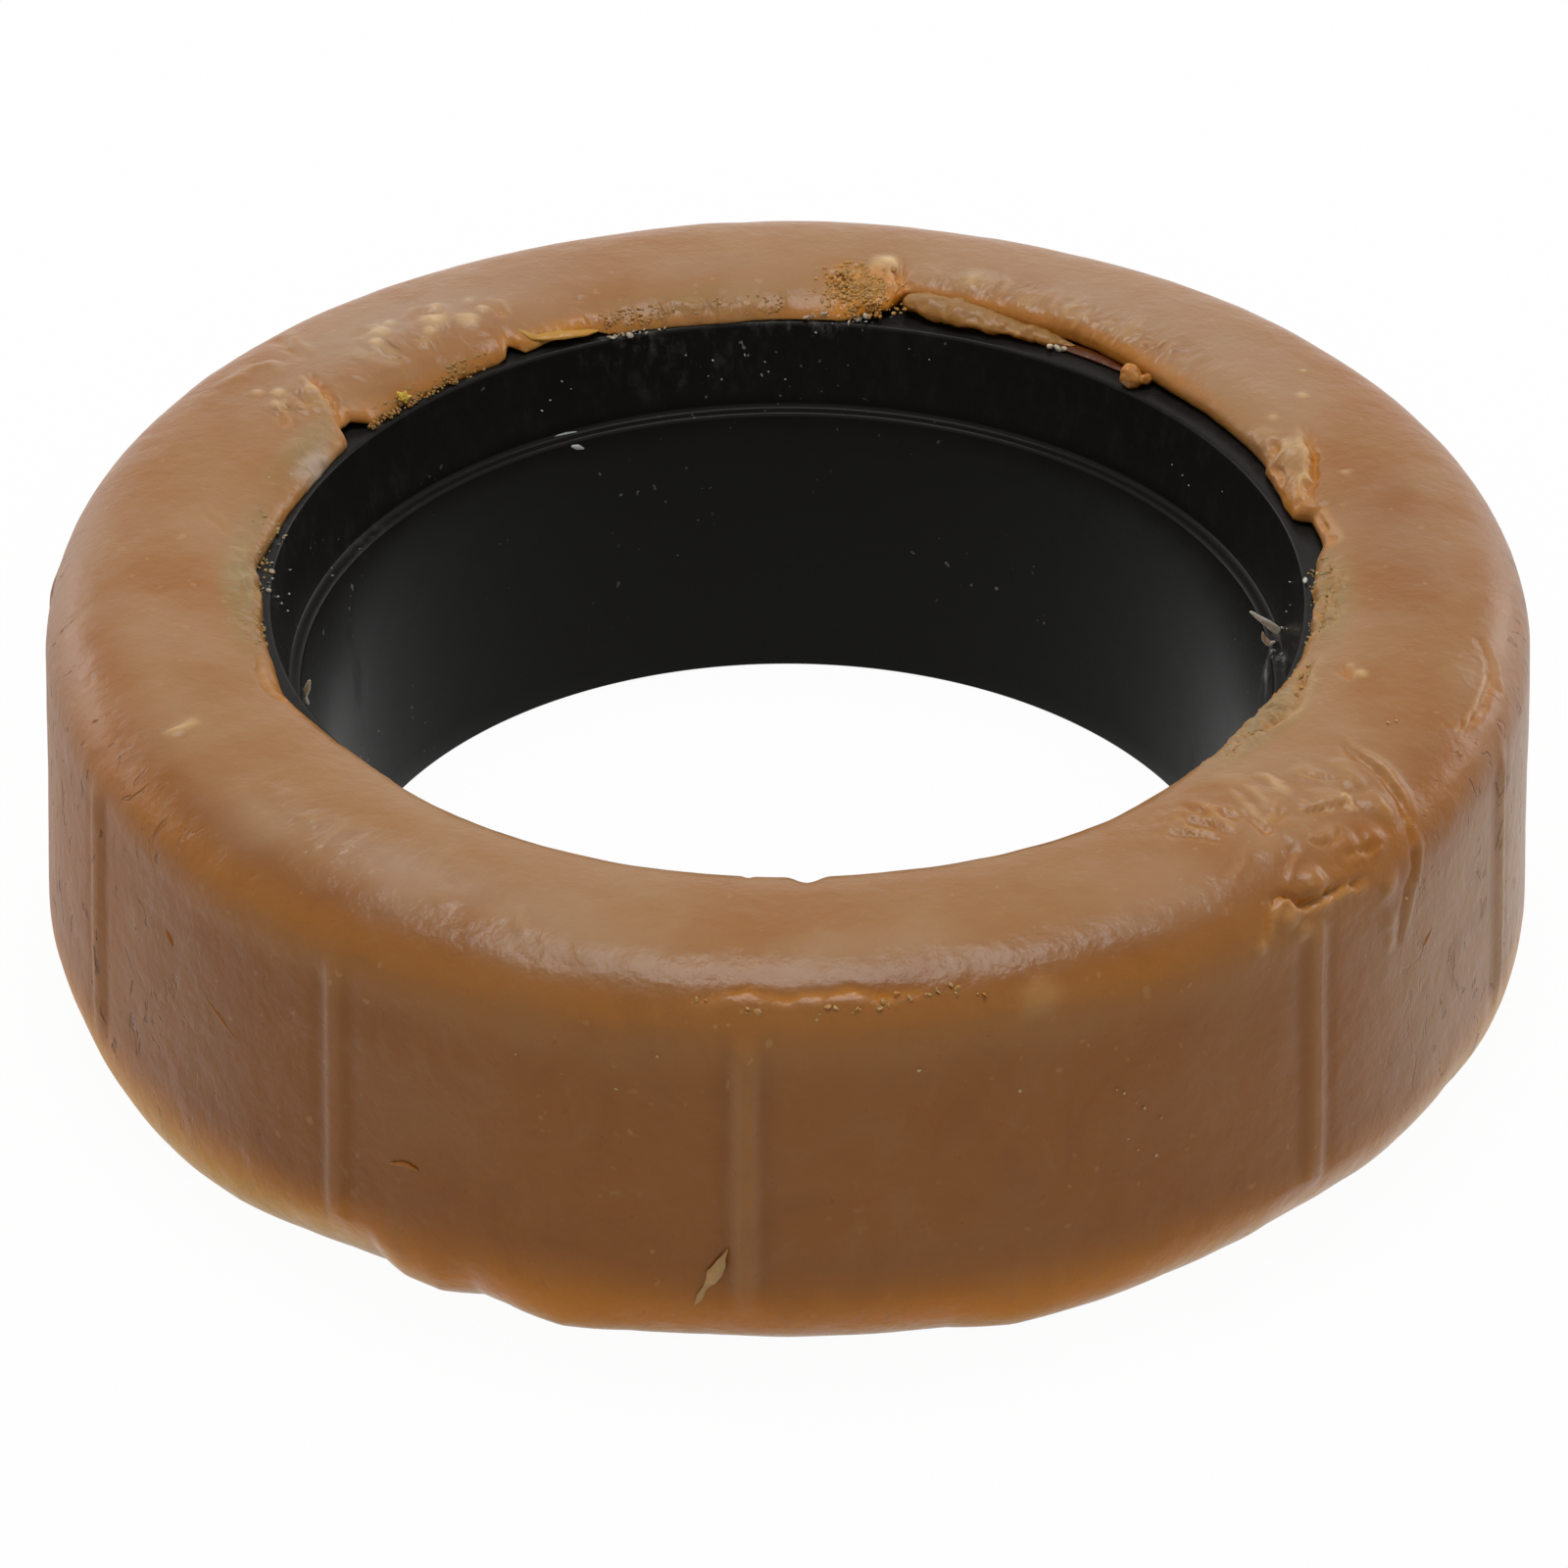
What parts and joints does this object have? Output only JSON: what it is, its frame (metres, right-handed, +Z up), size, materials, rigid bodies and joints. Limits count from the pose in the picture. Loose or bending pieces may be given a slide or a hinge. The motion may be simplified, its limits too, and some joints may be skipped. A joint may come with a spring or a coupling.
{
  "type": "toilet pan seal",
  "caption": "Wax ring seal cast round a black plastic flanged sleeve, for the joint between a toilet pan outlet and the soil pipe in the floor.",
  "frame": {"origin": "centre of the underside, level with the wax base and the sleeve's lower end", "axes": "+Z up through the bore, from the base to the rounded crown; -Y is the side that faces the camera in the picture, +X its right"},
  "size_m": [0.1206, 0.1206, 0.034],
  "materials": {
    "amber_wax": "opaque amber brown petroleum wax, soft sheen, slightly translucent at thin edges",
    "black_plastic": "moulded black polyethylene, fairly glossy, scuffed"
  },
  "bodies": {
    "root": {"wax_ring": "amber_wax", "flanged_sleeve": "black_plastic"}
  },
  "joints": []
}
